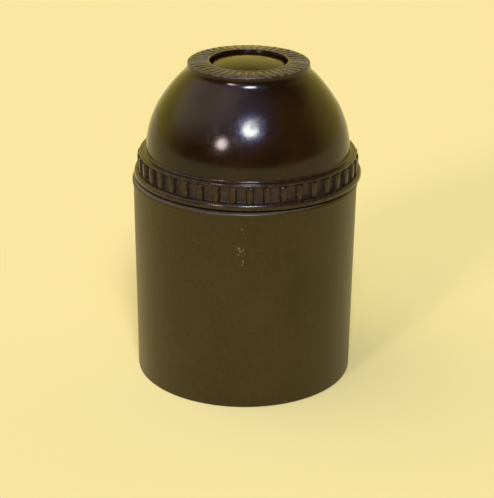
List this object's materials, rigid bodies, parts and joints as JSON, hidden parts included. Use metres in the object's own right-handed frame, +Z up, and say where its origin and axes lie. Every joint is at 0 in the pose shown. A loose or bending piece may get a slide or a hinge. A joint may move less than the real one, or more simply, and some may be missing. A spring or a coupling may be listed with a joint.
{
  "type": "lamp holder",
  "caption": "Moulded pendant lamp holder: plain skirt, domed cap with a ribbed collar and raised crown, screw shell on a porcelain block inside.",
  "frame": {"origin": "centre of the skirt's open mouth, on the plane of its rim", "axes": "+Z up the skirt's axis towards the crown, -Y to the side seen in front"},
  "size_m": [0.0459, 0.0454, 0.065],
  "materials": {
    "skirt_plastic": "satin moulded phenolic, dark olive brown",
    "cap_plastic": "glossy moulded phenolic, brown black",
    "porcelain": "glazed cream porcelain",
    "brass": "dull brass",
    "contact_metal": "sprung bronze",
    "screw_metal": "turned brass"
  },
  "bodies": {
    "skirt": {"skirt": "skirt_plastic"},
    "insert": {"insert_block": "porcelain", "screw_shell": "brass", "contact_rivet": "brass", "live_terminal": "brass", "neutral_terminal": "brass", "shell_rivet_left": "brass", "shell_rivet_right": "brass"},
    "cap": {"cap": "cap_plastic"},
    "centre_contact": {"centre_contact": "contact_metal"},
    "live_clamp": {"clamp_plate_live": "contact_metal"},
    "live_screw": {"terminal_screw_live": "screw_metal"},
    "neutral_clamp": {"clamp_plate_neutral": "contact_metal"},
    "neutral_screw": {"terminal_screw_neutral": "screw_metal"}
  },
  "joints": [
    {"name": "cap_lift", "type": "slide", "parent": "skirt", "child": "insert", "axis": [0, 0, 1], "range_m": [0, 0.004]},
    {"name": "cap_turn", "type": "hinge", "parent": "insert", "child": "cap", "pos_m": [0.0005, 0, 0.05], "axis": [0, 0, 1], "range_deg": [0, 720]},
    {"name": "contact_flex", "type": "hinge", "parent": "insert", "child": "centre_contact", "pos_m": [0, -0.008, 0.03807], "axis": [1, 0, 0], "range_deg": [0, 7], "stiffness_Nm_per_rad": 0.3},
    {"name": "live_clamp_lift", "type": "slide", "parent": "insert", "child": "live_clamp", "axis": [0, 0, 1], "range_m": [0, 0.0018]},
    {"name": "live_screw_turn", "type": "hinge", "parent": "live_clamp", "child": "live_screw", "pos_m": [0.0085, 0, 0.05], "axis": [0, 0, 1], "range_deg": [0, 1080]},
    {"name": "neutral_clamp_lift", "type": "slide", "parent": "insert", "child": "neutral_clamp", "axis": [0, 0, 1], "range_m": [0, 0.0018]},
    {"name": "neutral_screw_turn", "type": "hinge", "parent": "neutral_clamp", "child": "neutral_screw", "pos_m": [-0.0085, 0, 0.05], "axis": [0, 0, 1], "range_deg": [0, 1080]}
  ],
  "couplings": [
    {"joint": "cap_turn", "follows": "cap_lift", "rad_per_m": 3141.6},
    {"joint": "live_screw_turn", "follows": "live_clamp_lift", "rad_per_m": 10472},
    {"joint": "neutral_screw_turn", "follows": "neutral_clamp_lift", "rad_per_m": 10472}
  ]
}
